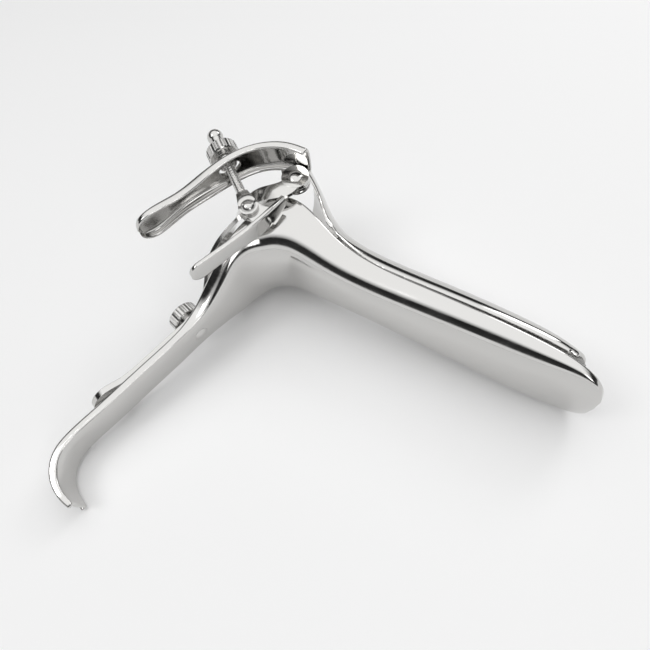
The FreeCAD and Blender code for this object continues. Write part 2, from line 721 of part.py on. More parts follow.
def lay_down(pieces):
    """Turn the instrument to its resting attitude, over the centre of its footprint."""
    attitude = Rotation(AXIS_Y, lie_about_y).multiply(Rotation(AXIS_X, lie_about_x))
    placed = {}
    for name, shape in pieces.items():
        placed[name] = shape.copy()
        placed[name].Placement = Placement(Vector(), attitude).multiply(shape.Placement)
    points = Part.makeCompound(list(placed.values())).tessellate(0.02)[0]
    spans = [(min(axis), max(axis)) for axis in zip(*points)]
    shift = Vector(-sum(spans[0]) / 2, -sum(spans[1]) / 2, -spans[2][0])
    for shape in placed.values():
        shape.translate(shift)
    return placed, Placement(shift, attitude)


def main():
    os.makedirs("parts", exist_ok=True)
    pieces, placement = lay_down(build())
    for name, shape in pieces.items():
        shape.exportStep(os.path.join("parts", name + ".step"))
        print(name, len(shape.Solids), round(shape.Volume, 1), shape.isValid())
    print("placement", placement.toMatrix())


if __name__ == "__main__":
    main()
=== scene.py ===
"""Bivalve speculum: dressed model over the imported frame, with its stage, camera and light."""
import json
import math

import bmesh
import bpy
import numpy as np
from bpy.props import FloatProperty, FloatVectorProperty, PointerProperty
from mathutils import Matrix


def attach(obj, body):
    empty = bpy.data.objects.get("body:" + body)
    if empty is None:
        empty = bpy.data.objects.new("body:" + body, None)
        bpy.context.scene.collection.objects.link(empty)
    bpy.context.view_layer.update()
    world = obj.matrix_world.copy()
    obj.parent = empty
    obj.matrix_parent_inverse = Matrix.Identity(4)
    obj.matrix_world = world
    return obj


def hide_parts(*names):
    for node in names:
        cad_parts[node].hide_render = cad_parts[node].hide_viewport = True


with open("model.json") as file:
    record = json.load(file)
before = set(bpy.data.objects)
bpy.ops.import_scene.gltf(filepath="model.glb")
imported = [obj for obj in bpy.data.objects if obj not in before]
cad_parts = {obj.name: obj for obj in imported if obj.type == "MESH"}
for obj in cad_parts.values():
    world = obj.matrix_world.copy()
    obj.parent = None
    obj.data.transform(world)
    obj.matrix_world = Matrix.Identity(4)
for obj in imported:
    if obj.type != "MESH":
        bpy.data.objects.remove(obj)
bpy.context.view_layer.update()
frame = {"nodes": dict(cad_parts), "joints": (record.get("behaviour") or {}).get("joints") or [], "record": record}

bl_info = {
    "name": "Bivalve speculum",
    "version": (1, 0, 0),
    "blender": (4, 5, 0),
    "location": "3D View > Sidebar > Speculum",
    "description": "Formed sheet-steel speculum with threaded rod, thumb nuts and a studio stage",
    "category": "Object",
}

JOINTS = {joint["name"]: joint for joint in frame["joints"]}
MM = 0.001

# Sizes are in millimetres and places are in the blade frame: X runs along the blades from the
# throat to the tip, Y from the lower valve to the upper one, and Z towards the lever side.
X_AXIS = (1.0, 0.0, 0.0)
Y_AXIS = (0.0, 1.0, 0.0)
Z_AXIS = (0.0, 0.0, 1.0)

# Lower valve, throat, handle and hook
SHEET = 1.4
HANDLE_ANGLE = 104.0
BEND_RADIUS = 14.0
BLADE_LENGTH = 115.0
BLADE_HALF_WIDTH = 16.5
WAIST_SHARE = 0.86
WAIST_START = 35.0
WAIST_END_SHARE = 0.87
WALL_LEAST = 0.9
THROAT_HALF_WIDTH = 20.0
HANDLE_HALF_WIDTH = 7.25
FLANGE_HEIGHT = 3.3
FLANGE_BEND = 2.4
HANDLE_LENGTH = 91.0
HOOK_RADIUS = 12.0
HOOK_TURN = 92.0
HOOK_TIP = 3.0
HOOK_HALF_WIDTH = 6.0
RIM_HEIGHT = 11.6

# Upper valve and its hinge
UPPER_LENGTH = 108.0
UPPER_HALF_WIDTH = 15.4
BILL_LENGTH = 13.0
BILL_POWER = 2.5
BILL_GROWTH = 0.6
TIP_ROUNDING = 0.25
EDGE_ROUNDING = 0.2
COLLAR_HALF_WIDTH = 21.2
COLLAR_TOP = 40.0
COLLAR_END = -5.0
BLADE_GAP = 0.5
RIM_ROUNDING = 0.5
NOTCH_HALF_WIDTH = 2.5
NOTCH_END = 9.0
NOTCH_DEPTH = 38.0
HINGE = (-1.5, 26.0)
HINGE_EAR_RADIUS = 5.0
HINGE_PIN_ROOM = 1.65
RIVET_ROOM = 3.2
RIVET_ROOM_DEPTH = 3.0
EAR_ROOM = 0.3
EAR_ROOM_DEPTH = 2.0
EAR_EDGE = 0.3

# Angle rod and the lug that carries it
PIVOT = (-6.0, 4.5, 29.0)
PIVOT_RADIUS = 1.1
ROD_ANGLE = 144.0
ROD_LENGTH = 36.5
ROD_RADIUS = 1.7
FORK_REACH = 6.4
THREAD_START = 0.6
THREAD_END = 1.0
THREAD_RUN_OUT = 1.2
THREAD_CREST = 0.8
THREAD_OVERLAP = 0.02
LUG_RADIUS = 3.0
LUG_THICKNESS = 1.6
LUG_EDGE = 0.2

# Thumb lever
LEVER_SHEET = 1.4
LEVER_HALF_WIDTH = 6.4
LEVER_BEND = 2.6
LEVER_POWER = 3.2
LEVER_TIP = (-40.2, -18.0, 26.4)
LEVER_RIM_ROUNDING = 0.5
LAP_TOP = 33.2
LAP_EDGE = 0.25
LAP_ROOM_DEPTH = 4.0
ROD_CROSSING = 21.3
ROD_SLOT_LENGTH = 8.4
ROD_SLOT_WIDTH = 4.3
ROD_SLOT_DEPTH = 9.0
RIB_COUNT = 9
RIB_START = 1.2
RIB_REACH = 0.74
RIB_FADE = 6.0

# Finger rest
YOKE_SHEET = 1.6
FACE_CLEARANCE = 0.1
REST_WIDTH = 8.2
REST_THICKNESS = 2.0
REST_INSET = 1.8
REST_RIB_COUNT = 7
REST_RIB_PITCH = 1.05
REST_RIB_HEIGHT = 0.3
REST_RIB_START = 0.8
REST_RIB_REACH = 0.86
REST_RIB_FADE = 8

# How finely the meshes are drawn, and how far a cutter stays off a face that it shares
VALVE_ROWS = 420
UPPER_ROWS = 260
VALVE_COLUMNS = 90
FINE_GRID = 400
LEVER_ROWS = 640
LEVER_COLUMNS = 72
REST_ROWS = 420
REST_COLUMNS = 56
THREAD_ROWS_PER_TURN = 18
THREAD_COLUMNS = 48
TURNED_COLUMNS = 64
BEND_STEP = 15.0
RIM_STEPS = 5
CAP_ANGLES = (30.0, 55.0, 75.0, 86.0)
SHARP_EDGE = 35.0
SHARED_FACE = 0.001

# Steel: noise scales per metre, from worn clouds over hair lines to fine scratches
CLOUD_SCALE = 70.0
HAIR_SCALE = 260.0
SCRATCH_SCALE = 420.0
SCRATCH_DEPTH = 0.00003

# Camera fitted to the photograph: attitude in degrees, millimetres and frame pixels
CAMERA_ANGLES = (49.73, 62.65, -19.84)
CAMERA_DISTANCE = 192.37
CAMERA_TARGET = (10.0, -10.0, 0.0)
SENSOR_WIDTH = 36.0
FRAME_WIDTH = 650.0
CROP = 1.36
PIXELS_PER_MM = 2.0
SUBJECT_PIXEL = (334.0, 203.0)
TARGET_PIXEL = (300.85, 185.04)

# Studio: grey level of the world by height (0 straight down, 1 overhead), and lamps as name,
# power in watts, size and place in metres
FLOOR_SIZE = 3.0
FLOOR_ROUGHNESS = 0.9
FLOOR_SHEEN = 0.1
WORLD_LEVELS = ((0.0, 0.97), (0.17, 0.95), (0.23, 0.04), (0.60, 0.02), (0.68, 0.70), (0.80, 1.30),
                (1.0, 1.30))
LAMPS = (("key", 0.95, 0.26, (-0.35, -0.45, 0.75)),
         ("fill", 0.5, 0.22, (0.55, -0.30, 0.45)),
         ("rim", 0.7, 0.24, (0.15, 0.60, 0.50)))
LAMP_TARGET = (0.0, 0.0, 0.02)


def unit(vector):
    """v / |v|."""
    vector = np.asarray(vector, float)
    return vector / np.linalg.norm(vector)


def turned(vector, degrees):
    """Vector turned about Z: (x cos a - y sin a, x sin a + y cos a, z)."""
    a = math.radians(degrees)
    x, y, z = vector
    return np.array([x * math.cos(a) - y * math.sin(a), x * math.sin(a) + y * math.cos(a), z])


# Down the handle, out of its back, along the rod, and the lever pad's length and face
DOWN = turned(X_AXIS, -HANDLE_ANGLE)
BACK = turned(DOWN, -90.0)
ROD_WAY = turned(X_AXIS, ROD_ANGLE)
PAD_WAY = unit((-3.6, -8.0, 0.0))
PAD_FACING = unit((-1.0, 0.56, 0.0))


def frame_axes():
    """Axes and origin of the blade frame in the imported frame, worked out from two joints.

    Z is the hinge axis, DOWN is against the slide axis, X is DOWN turned by the handle angle about
    Z, Y = Z x X, and origin = hinge - x X - y Y.
    """
    z = unit(JOINTS["blade_hinge"]["axis"])
    down = -unit(JOINTS["yoke_slide"]["axis"])
    side = np.cross(z, down)
    a = math.radians(HANDLE_ANGLE)
    x = unit(down * math.cos(a) + side * math.sin(a))
    y = np.cross(z, x)
    origin = np.asarray(JOINTS["blade_hinge"]["pos_m"], float) - (x * HINGE[0] + y * HINGE[1]) * MM
    return origin, np.stack([x, y, z])


ORIGIN, AXES = frame_axes()


def placed(points):
    """Points in blade-frame millimetres to packed-frame metres: origin + 0.001 p . axes."""
    return ORIGIN + MM * (np.asarray(points, float) @ AXES)


def handle_point(down, back):
    """Point on the handle's middle plane: d DOWN + b BACK."""
    return DOWN * down + BACK * back


def rod_crossing():
    """Where the rod's axis passes the lever: pivot + d along the rod."""
    return np.array(PIVOT) + ROD_WAY * ROD_CROSSING


def spline(knots, values, at):
    """Natural cubic spline: moments m solve the tridiagonal system, then on each span
    y = a y0 + b y1 + ((a^3 - a) m0 + (b^3 - b) m1) h^2 / 6 with a + b = 1."""
    knots = np.asarray(knots, float)
    values = np.asarray(values, float)
    at = np.asarray(at, float)
    flat = values.reshape(len(knots), -1)
    h = np.diff(knots)
    slope = np.diff(flat, axis=0) / h[:, None]
    size = len(knots)
    system = np.eye(size)
    right = np.zeros_like(flat)
    inner = np.arange(1, size - 1)
    system[inner, inner - 1] = h[:-1]
    system[inner, inner] = 2 * (h[:-1] + h[1:])
    system[inner, inner + 1] = h[1:]
    right[inner] = 6 * np.diff(slope, axis=0)
    moment = np.linalg.solve(system, right)
    span = np.clip(np.searchsorted(knots, at, side="right") - 1, 0, size - 2)
    width = h[span][:, None]
    b = ((at - knots[span]) / h[span])[:, None]
    a = 1 - b
    curve = (a * flat[span] + b * flat[span + 1]
             + ((a ** 3 - a) * moment[span] + (b ** 3 - b) * moment[span + 1]) * width ** 2 / 6)
    return curve.reshape((len(at),) + values.shape[1:])


def chord_shares(points):
    """Running length along rows of points, as shares of the whole: sum |p_k+1 - p_k| / total."""
    steps = np.linalg.norm(np.diff(points, axis=0), axis=-1)
    if steps.ndim > 1:
        steps = steps.mean(axis=1)
    run = np.concatenate([[0.0], np.cumsum(steps)])
    return run / run[-1]


def trough_row(section, inset):
    """Points across a bent-sheet trough: floor |z/w|^p + |y/r|^p = 1 under two straight walls."""
    at, opens, half_width, depth, rise, power = section
    half = half_width - inset
    bend = min(rise, depth - WALL_LEAST)
    angle = np.radians(-90 + BEND_STEP * np.arange(1, int(180 / BEND_STEP)))
    side = np.copysign(np.abs(np.sin(angle)) ** (2 / power), angle) * half
    up = inset + (bend - inset) * (1 - np.abs(np.cos(angle)) ** (2 / power))
    rim = [(half, depth), (half, (bend + depth) / 2)]
    side = np.concatenate([[-p[0] for p in rim], side, [p[0] for p in rim[::-1]]])
    up = np.concatenate([[p[1] for p in rim], up, [p[1] for p in rim[::-1]]])
    return np.asarray(at) + np.outer(side, Z_AXIS) + np.outer(up, opens)


def skin(sections, inset, rows, columns):
    """Dense grid through the section rows: spline along every column, then across every row."""
    grid = np.stack([trough_row(section, inset) for section in sections])
    along = chord_shares(grid)
    around = chord_shares(np.swapaxes(grid, 0, 1))
    dense = spline(along, grid, np.linspace(0, 1, rows))
    dense = np.swapaxes(dense, 0, 1)
    dense = spline(around, dense, np.linspace(0, 1, columns))
    return np.swapaxes(dense, 0, 1)


def mesh_object(name, points, faces):
    """New object from blade-frame points, with smooth faces."""
    mesh = bpy.data.meshes.new(name)
    mesh.from_pydata(placed(points).tolist(), [], faces)
    mesh.validate()
    mesh.update()
    mesh.shade_smooth()
    piece = bpy.data.objects.new(name, mesh)
    bpy.context.scene.collection.objects.link(piece)
    return piece


def tube_faces(rows, columns):
    """Quads of a grid that is closed across: (i, j) (i, j+1) (i+1, j+1) (i+1, j)."""
    i, j = np.meshgrid(np.arange(rows - 1), np.arange(columns), indexing="ij")
    following = (j + 1) % columns
    quads = np.stack([i * columns + j, i * columns + following,
                      (i + 1) * columns + following, (i + 1) * columns + j], axis=-1)
    return quads.reshape(-1, 4).tolist()


def rod_faces(rows, columns):
    """Quads of a tube, with one flat face on its first row and one on its last."""
    faces = tube_faces(rows, columns)
    faces.append(list(range(columns))[::-1])
    faces.append([(rows - 1) * columns + k for k in range(columns)])
    return faces


def sheet_mesh(name, outer, inner):
    """Closed sheet between two grids, its rims and ends rounded by half circles.

    Rim: m + r (cos a s + sin a u), with m the middle of the edge, s half the thickness and u the
    way the wall runs. End: every point goes to m + (p - m) cos a + r sin a e, with e the way out.
    """
    steps = RIM_STEPS
    angle = np.pi * np.arange(1, steps + 1) / (steps + 1)

    def rim(edge, beyond, other):
        middle = (edge + other) / 2
        half = (edge - other) / 2
        out = edge - beyond
        out = out / np.linalg.norm(out, axis=-1, keepdims=True)
        radius = np.linalg.norm(half, axis=-1, keepdims=True)
        return (middle[:, None] + np.cos(angle)[None, :, None] * half[:, None]
                + np.sin(angle)[None, :, None] * (out * radius)[:, None], middle)

    first, first_middle = rim(inner[:, 0], inner[:, 1], outer[:, 0])
    last, last_middle = rim(outer[:, -1], outer[:, -2], inner[:, -1])
    middle = (outer + inner) / 2
    loop = np.concatenate([outer, last, inner[:, ::-1], first], axis=1)
    centre = np.concatenate([middle, np.repeat(last_middle[:, None], steps, 1), middle[:, ::-1],
                             np.repeat(first_middle[:, None], steps, 1)], axis=1)
    rows = [loop]
    for end, beyond, place in ((0, 1, 0), (-1, -2, 1)):
        out = loop[end] - loop[beyond]
        out = out / np.linalg.norm(out, axis=-1, keepdims=True)
        radius = np.linalg.norm(outer[end] - inner[end], axis=-1).mean() / 2
        cap = []
        for a in np.radians(CAP_ANGLES):
            drawn_in = (loop[end] - centre[end]) * np.cos(a)
            cap.append(centre[end] + drawn_in + out * radius * np.sin(a))
        cap = np.stack(cap)
        rows.insert(0 if place == 0 else len(rows), cap[::-1] if place == 0 else cap)
    grid = np.concatenate(rows)
    count, columns = grid.shape[:2]
    faces = tube_faces(count, columns)
    width = outer.shape[1]
    for row, flip in ((0, False), (count - 1, True)):
        base = row * columns
        j = np.arange(width - 1)
        back = width + steps + (width - 1 - j)
        strip = np.stack([base + j, base + back, base + back - 1, base + j + 1], axis=-1)
        last_fan = [base + width - 1 + k for k in range(steps + 2)]
        first_fan = [base + (2 * width + steps - 1 + k) % columns for k in range(steps + 2)]
        ends = strip.tolist() + [last_fan, first_fan]
        if flip:
            ends = [face[::-1] for face in ends]
        faces += ends
    piece = mesh_object(name, grid.reshape(-1, 3), faces)
    face_outward(piece)
    return piece


def face_outward(piece):
    """Turn all faces outward by the sign of the enclosed volume, sum p0 . (p1 x p2) / 6."""
    work = bmesh.new()
    work.from_mesh(piece.data)
    bmesh.ops.recalc_face_normals(work, faces=work.faces)
    if work.calc_volume(signed=True) < 0:
        bmesh.ops.reverse_faces(work, faces=work.faces)
    work.to_mesh(piece.data)
    work.free()
    piece.data.update()


def carved(piece, cutters, mode="DIFFERENCE"):
    """The piece with cutters taken from it (or joined to it) by exact booleans."""
    for cutter in cutters:
        face_outward(cutter)
        modifier = piece.modifiers.new("carve", "BOOLEAN")
        modifier.operation = mode
        modifier.solver = "EXACT"
        modifier.object = cutter
    graph = bpy.context.evaluated_depsgraph_get()
    mesh = bpy.data.meshes.new_from_object(piece.evaluated_get(graph))
    piece.modifiers.clear()
    old = piece.data
    piece.data = mesh
    mesh.name = piece.name
    bpy.data.meshes.remove(old)
    for cutter in cutters:
        data = cutter.data
        bpy.data.objects.remove(cutter)
        bpy.data.meshes.remove(data)
    mesh.shade_smooth()
    mesh.set_sharp_from_angle(angle=math.radians(SHARP_EDGE))


def turned_piece(name, start, along, profile):
    """Turned solid: each profile pair (r, h) goes round start + along h at radius r."""
    along = unit(along)
    across = unit(np.cross(along, Z_AXIS if abs(along[2]) < 0.9 else Y_AXIS))
    other = np.cross(along, across)
    angle = 2 * np.pi * np.arange(TURNED_COLUMNS) / TURNED_COLUMNS
    ring = np.cos(angle)[:, None] * across + np.sin(angle)[:, None] * other
    profile = np.asarray(profile, float)
    grid = (np.asarray(start) + profile[:, 1][:, None, None] * along
            + profile[:, 0][:, None, None] * ring[None])
    piece = mesh_object(name, grid.reshape(-1, 3), rod_faces(len(profile), TURNED_COLUMNS))
    face_outward(piece)
    piece.data.set_sharp_from_angle(angle=math.radians(SHARP_EDGE))
    return piece


def cutting_pin(start, along, radius, height):
    """Round cutter that starts just off the face it shares with a seat."""
    return turned_piece("room", start, along, [(radius, SHARED_FACE), (radius, height)])


def prism(name, plan, lift):
    """Prism between a closed row of points and the same row moved by lift."""
    plan = np.asarray(plan, float)
    count = len(plan)
    points = np.concatenate([plan, plan + np.asarray(lift, float)])
    faces = [[k, (k + 1) % count, (k + 1) % count + count, k + count] for k in range(count)]
    faces += [list(range(count))[::-1], list(range(count, 2 * count))]
    piece = mesh_object(name, points, faces)
    face_outward(piece)
    return piece


def round_slot(centre, along, normal, length, width, height):
    """Round-ended slot prism: half circles of radius w/2 about c +- (l - w)/2 a, raised by h n."""
    side = np.cross(normal, along)
    reach = (length - width) / 2
    angle = np.radians(np.arange(-90.0, 91.0, 10.0))
    ends = [(np.cos(angle) * width / 2 + reach, np.sin(angle) * width / 2)]
    ends.append((-ends[0][0], -ends[0][1]))
    start = np.asarray(centre) - np.asarray(normal) * height / 2
    plan = np.concatenate([start + np.outer(u, along) + np.outer(v, side) for u, v in ends])
    return prism("slot", plan, np.asarray(normal) * height)


def rib_wave(left, start, count, pitch):
    """Height share of ribs at a length left before an end: (1 - cos(2 pi (s - s0) / pitch)) / 2."""
    wave = 0.5 - 0.5 * np.cos(2 * np.pi * (left - start) / pitch)
    return wave * ((left > start) & (left < start + count * pitch))


def strap_piece(name, stations, thickness, rows, columns):
    """Bent strap of superellipse section |u/w|^4 + |v/t|^4 = 1 along a spline of centres.

    Near its rounded end the half width is w sqrt(1 - (1 - s/w)^2), s being the length left. The
    ribs before that end lift the front face by h (1 - cos(2 pi (s - s0) / pitch)) / 2.
    """
    centres, facings, widths = (np.array([station[k] for station in stations], float)
                                for k in range(3))
    knots = chord_shares(centres)
    at = np.linspace(0, 1, rows)
    centre = spline(knots, centres, at)
    facing = spline(knots, facings / np.linalg.norm(facings, axis=1, keepdims=True), at)
    half = spline(knots, widths[:, None], at)[:, 0] / 2
    along = np.gradient(centre, axis=0)
    along /= np.linalg.norm(along, axis=1, keepdims=True)
    normal = facing - along * np.sum(facing * along, axis=1, keepdims=True)
    normal /= np.linalg.norm(normal, axis=1, keepdims=True)
    across = np.cross(normal, along)
    run = np.concatenate([[0.0], np.cumsum(np.linalg.norm(np.diff(centre, axis=0), axis=1))])
    left = run[-1] - run
    share = np.clip(left / half, 0.0, 1.0)
    half = half * np.sqrt(np.clip(1 - (1 - share) ** 2, 0.002, 1.0))
    angle = 2 * np.pi * np.arange(columns) / columns
    u = np.copysign(np.abs(np.cos(angle)) ** 0.5, np.cos(angle))
    v = np.copysign(np.abs(np.sin(angle)) ** 0.5, np.sin(angle))
    grid = (centre[:, None] + (half[:, None] * u)[..., None] * across[:, None]
            + (thickness / 2 * v)[None, :, None] * normal[:, None])
    ribs = rib_wave(left, REST_RIB_START, REST_RIB_COUNT, REST_RIB_PITCH)
    mask = np.clip((REST_RIB_REACH - np.abs(u)) * REST_RIB_FADE, 0.0, 1.0) * (v > 0)
    grid += (REST_RIB_HEIGHT * ribs)[:, None, None] * mask[None, :, None] * normal[:, None]
    piece = mesh_object(name, grid.reshape(-1, 3), rod_faces(rows, columns))
    face_outward(piece)
    return piece


# Materials


def steel(name, colour, rough, smudge, grain=0.0, direction=(1.0, 1.0, 1.0), edge=0.00025):
    """Stainless steel: worn polish in two noises, hair scratches, and edges eased by a bevel."""
    material = bpy.data.materials.new(name)
    material.use_nodes = True
    tree = material.node_tree
    nodes, links = tree.nodes, tree.links
    shader = nodes["Principled BSDF"]
    shader.inputs["Metallic"].default_value = 1.0
    shader.inputs["Base Color"].default_value = (*colour, 1.0)
    place = nodes.new("ShaderNodeTexCoord")

    def noise(scale, detail, stretch=(1.0, 1.0, 1.0)):
        mapping = nodes.new("ShaderNodeMapping")
        mapping.inputs["Scale"].default_value = stretch
        links.new(place.outputs["Object"], mapping.inputs["Vector"])
        texture = nodes.new("ShaderNodeTexNoise")
        texture.inputs["Scale"].default_value = scale
        texture.inputs["Detail"].default_value = detail
        links.new(mapping.outputs["Vector"], texture.inputs["Vector"])
        return texture.outputs["Fac"]

    def spread(value, low, high, start=0.35, end=0.65):
        node = nodes.new("ShaderNodeMapRange")
        node.inputs["From Min"].default_value = start
        node.inputs["From Max"].default_value = end
        node.inputs["To Min"].default_value = low
        node.inputs["To Max"].default_value = high
        links.new(value, node.inputs["Value"])
        return node.outputs["Result"]

    cloud = spread(noise(CLOUD_SCALE, 4.0), rough, rough + smudge)
    hair = spread(noise(HAIR_SCALE, 6.0, direction), -0.35 * smudge, 0.5 * smudge)
    total = nodes.new("ShaderNodeMath")
    total.operation = "ADD"
    links.new(cloud, total.inputs[0])
    links.new(hair, total.inputs[1])
    links.new(total.outputs[0], shader.inputs["Roughness"])
    eased = nodes.new("ShaderNodeBevel")
    eased.samples = 6
    eased.inputs["Radius"].default_value = edge
    bump = nodes.new("ShaderNodeBump")
    bump.inputs["Strength"].default_value = 0.05 + grain
    bump.inputs["Distance"].default_value = SCRATCH_DEPTH
    links.new(noise(SCRATCH_SCALE, 5.0, direction), bump.inputs["Height"])
    links.new(eased.outputs["Normal"], bump.inputs["Normal"])
    links.new(bump.outputs["Normal"], shader.inputs["Normal"])
    return material


def dress(piece, material):
    """Put one material on every slot of a piece."""
    piece.data.materials.clear()
    piece.data.materials.append(material)


def polished():
    """Mirror-polished sheet, made once."""
    look = bpy.data.materials.get("polished_steel_look")
    return look or steel("polished_steel_look", settings().steel_colour,
                         settings().sheet_roughness, 0.07, direction=(0.6, 3.0, 3.0))


def machined():
    """Bright turned steel of nuts, rod and screws, made once."""
    look = bpy.data.materials.get("turned_steel_look")
    return look or steel("turned_steel_look", settings().steel_colour,
                         settings().turned_roughness, 0.08, grain=0.12, edge=0.00012)


def settings():
    """The sizes and colours set in the panel."""
    return bpy.context.scene.speculum_settings


# Sections of the formed sheets


def half_width_at(x):
    """Waist + (bill - waist) sin^2 of the way along."""
    waist = WAIST_SHARE * BLADE_HALF_WIDTH
    share = (x - WAIST_START) / (WAIST_END_SHARE * BLADE_LENGTH - WAIST_START)
    share = max(0.0, min(1.0, share))
    return waist + (BLADE_HALF_WIDTH - waist) * math.sin(share * math.pi / 2) ** 2


def lower_sections(round_off):
    """Stations of the lower valve, throat, handle and hook, with rims lowered by round_off.

    Each is a place on the floor, the way the trough opens, half width, depth, floor rise and power.
    """
    turn = 180.0 - HANDLE_ANGLE
    throat = THROAT_HALF_WIDTH
    half = HANDLE_HALF_WIDTH
    length = BLADE_LENGTH
    sections = []
    for x, lift, half_width, rim, rise, power in (
            (length, 3.4, 7.0, 5.6, 3.0, 2.0), (length - 1.2, 3.1, 10.6, 6.3, 3.4, 2.0),
            (length - 3.6, 2.6, 13.4, 7.2, 4.2, 2.0), (length - 8.0, 1.8, 15.4, 8.4, 5.4, 2.0),
            (length - 18.0, 0.6, 16.4, 9.8, 7.6, 2.0),
            (length - 38.0, 0.0, half_width_at(length - 38.0), 11.0, 9.2, 2.0),
            (length - 60.0, 0.0, half_width_at(length - 60.0), RIM_HEIGHT, 9.8, 2.1),
            (36.0, 0.0, half_width_at(36.0), RIM_HEIGHT + 0.7, 10.2, 2.2),
            (22.0, 0.0, half_width_at(22.0) + 1.6, RIM_HEIGHT + 2.8, 11.4, 2.3)):
        sections.append(((x, lift, 0.0), Y_AXIS, half_width, rim - lift, rise, power))
    tangent = BEND_RADIUS * math.tan(math.radians(turn / 2))
    bend_centre = np.array([tangent, -BEND_RADIUS, 0.0])
    for share, half_width, depth, rise in (
            (0.0, throat - 1.6, 18.0, 13.5), (0.17, throat - 0.6, 21.0, 14.5),
            (0.32, throat, 22.0, 14.5), (0.5, throat, 18.0, 14.0), (0.7, throat, 13.0, 12.0),
            (1.0, throat - 1.4, 9.6, 8.7)):
        opens = turned(Y_AXIS, turn * share)
        sections.append((bend_centre + opens * BEND_RADIUS, opens, half_width, depth, rise, 2.4))
    for distance, half_width, depth, rise, power in (
            (17.0, throat - 4.6, 8.4, 7.5, 2.8), (24.0, half + 4.2, 7.2, 5.4, 3.4),
            (31.0, half + 1.2, 5.6, 3.6, 4.4), (38.0, half, 4.1, 2.8, 5.0),
            (46.0, half, FLANGE_HEIGHT, FLANGE_BEND, 5.0),
            (57.0, half, FLANGE_HEIGHT, FLANGE_BEND, 5.0),
            (68.0, half, FLANGE_HEIGHT, FLANGE_BEND, 5.0),
            (80.0, half, FLANGE_HEIGHT, FLANGE_BEND, 5.0),
            (HANDLE_LENGTH, half, FLANGE_HEIGHT, FLANGE_BEND, 5.0)):
        sections.append((handle_point(distance, 0), BACK, half_width, depth, rise, power))
    hook_centre = handle_point(HANDLE_LENGTH, -HOOK_RADIUS)
    for share, half_width, depth in ((0.3, half, 3.6), (0.65, half - 0.6, 3.4),
                                     (1.0, HOOK_HALF_WIDTH, 2.6)):
        opens = turned(BACK, HOOK_TURN * share)
        sections.append((hook_centre + opens * HOOK_RADIUS, opens, half_width, depth, 2.2, 4.5))
    opens = turned(BACK, HOOK_TURN)
    tip = hook_centre + opens * HOOK_RADIUS + turned(DOWN, HOOK_TURN) * HOOK_TIP
    sections.append((tip, opens, HOOK_HALF_WIDTH - 0.8, 2.4, 2.2, 4.0))
    return [(at, opens, half, depth - round_off, rise, power)
            for at, opens, half, depth, rise, power in sections]


def upper_sections():
    """Stations of the upper valve from tip to collar, which open downward."""
    length = UPPER_LENGTH
    half = UPPER_HALF_WIDTH
    collar = COLLAR_HALF_WIDTH
    return [((x, top, 0.0), (0.0, -1.0, 0.0), half_width, depth, rise, power)
            for x, top, half_width, depth, rise, power in (
                (length + 1, 14.2, half - 2.0, 6.0, 3.8, 2.0),
                (length - 8, 17.4, half - 0.4, 8.5, 5.8, 2.0),
                (length - 22, 19.6, half, 10.5, 7.6, 2.0),
                (length - 44, 20.6, half - 1.0, 11.5, 8.4, 2.0),
                (0.41 * length, 20.8, half - 1.8, 12.0, 8.8, 2.0),
                (30.0, 21.2, half - 1.2, 12.5, 9.2, 2.1),
                (20.0, 23.0, collar - 4.2, 14.5, 11.0, 2.2),
                (12.0, 27.4, collar - 1.8, 18.0, 12.6, 2.3),
                (5.0, 33.2, collar, 20.0, 13.6, 2.4),
                (-1.0, 38.2, collar, 22.0, 15.0, 2.4),
                (-6.0, COLLAR_TOP + 2, collar, 26.0, 16.0, 2.4))]


def upper_skin(inset, rows, columns):
    """Grid of the upper valve, its rows cut off where the rim, the plan or the lip ends.

    Every row is a trough curve at one x. It keeps the part with y >= rim(x) and |z| <= plan(x), and
    is sampled again at even lengths, so the rims need no trimming. Along the bill, the plan is
    w (1 - t^p)^(1/p) with t the share of the bill that is passed.
    """
    length = UPPER_LENGTH
    dense = skin(upper_sections(), inset, FINE_GRID, FINE_GRID)
    x_rows = dense[:, FINE_GRID // 2, 0]
    bill_rows = rows // 4
    tip = length - TIP_ROUNDING
    wanted = np.concatenate([tip - BILL_LENGTH * np.linspace(0, 1, bill_rows) ** 2,
                             np.linspace(length - BILL_LENGTH - 0.4, COLLAR_END,
                                         rows - bill_rows)])
    order = np.argsort(x_rows)
    place = np.interp(wanted, x_rows[order], order.astype(float))
    low = np.clip(np.floor(place).astype(int), 0, len(x_rows) - 2)
    part = (place - low)[:, None, None]
    curves = dense[low] * (1 - part) + dense[low + 1] * part
    closed = RIM_HEIGHT + BLADE_GAP
    rim_line = np.array([(-8.0, 25.2), (-5.5, 24.4), (3.1, 21.6), (14.0, 18.2), (28.0, 13.8),
                         (0.46 * length, closed), (length - 20, closed - 0.6), (length + 3, 10.0)])
    rim = spline(rim_line[:, 0], rim_line[:, 1:], wanted)[:, 0] + RIM_ROUNDING
    along = np.clip((wanted - (length - BILL_LENGTH)) / BILL_LENGTH, 0.0, 1.0)
    plan = (UPPER_HALF_WIDTH + BILL_GROWTH) * (1 - along ** BILL_POWER) ** (1 / BILL_POWER)
    plan -= EDGE_ROUNDING
    result = np.empty((len(wanted), columns, 3))
    for index, curve in enumerate(curves):
        keep = (curve[:, 1] >= rim[index]) & (np.abs(curve[:, 2]) <= plan[index])
        inside = np.flatnonzero(keep)
        kept = curve[inside[0]:inside[-1] + 1]
        run = np.concatenate([[0.0], np.cumsum(np.linalg.norm(np.diff(kept, axis=0), axis=1))])
        even = np.linspace(0, run[-1], columns)
        result[index] = np.stack([np.interp(even, run, kept[:, k]) for k in range(3)], axis=-1)
    return result


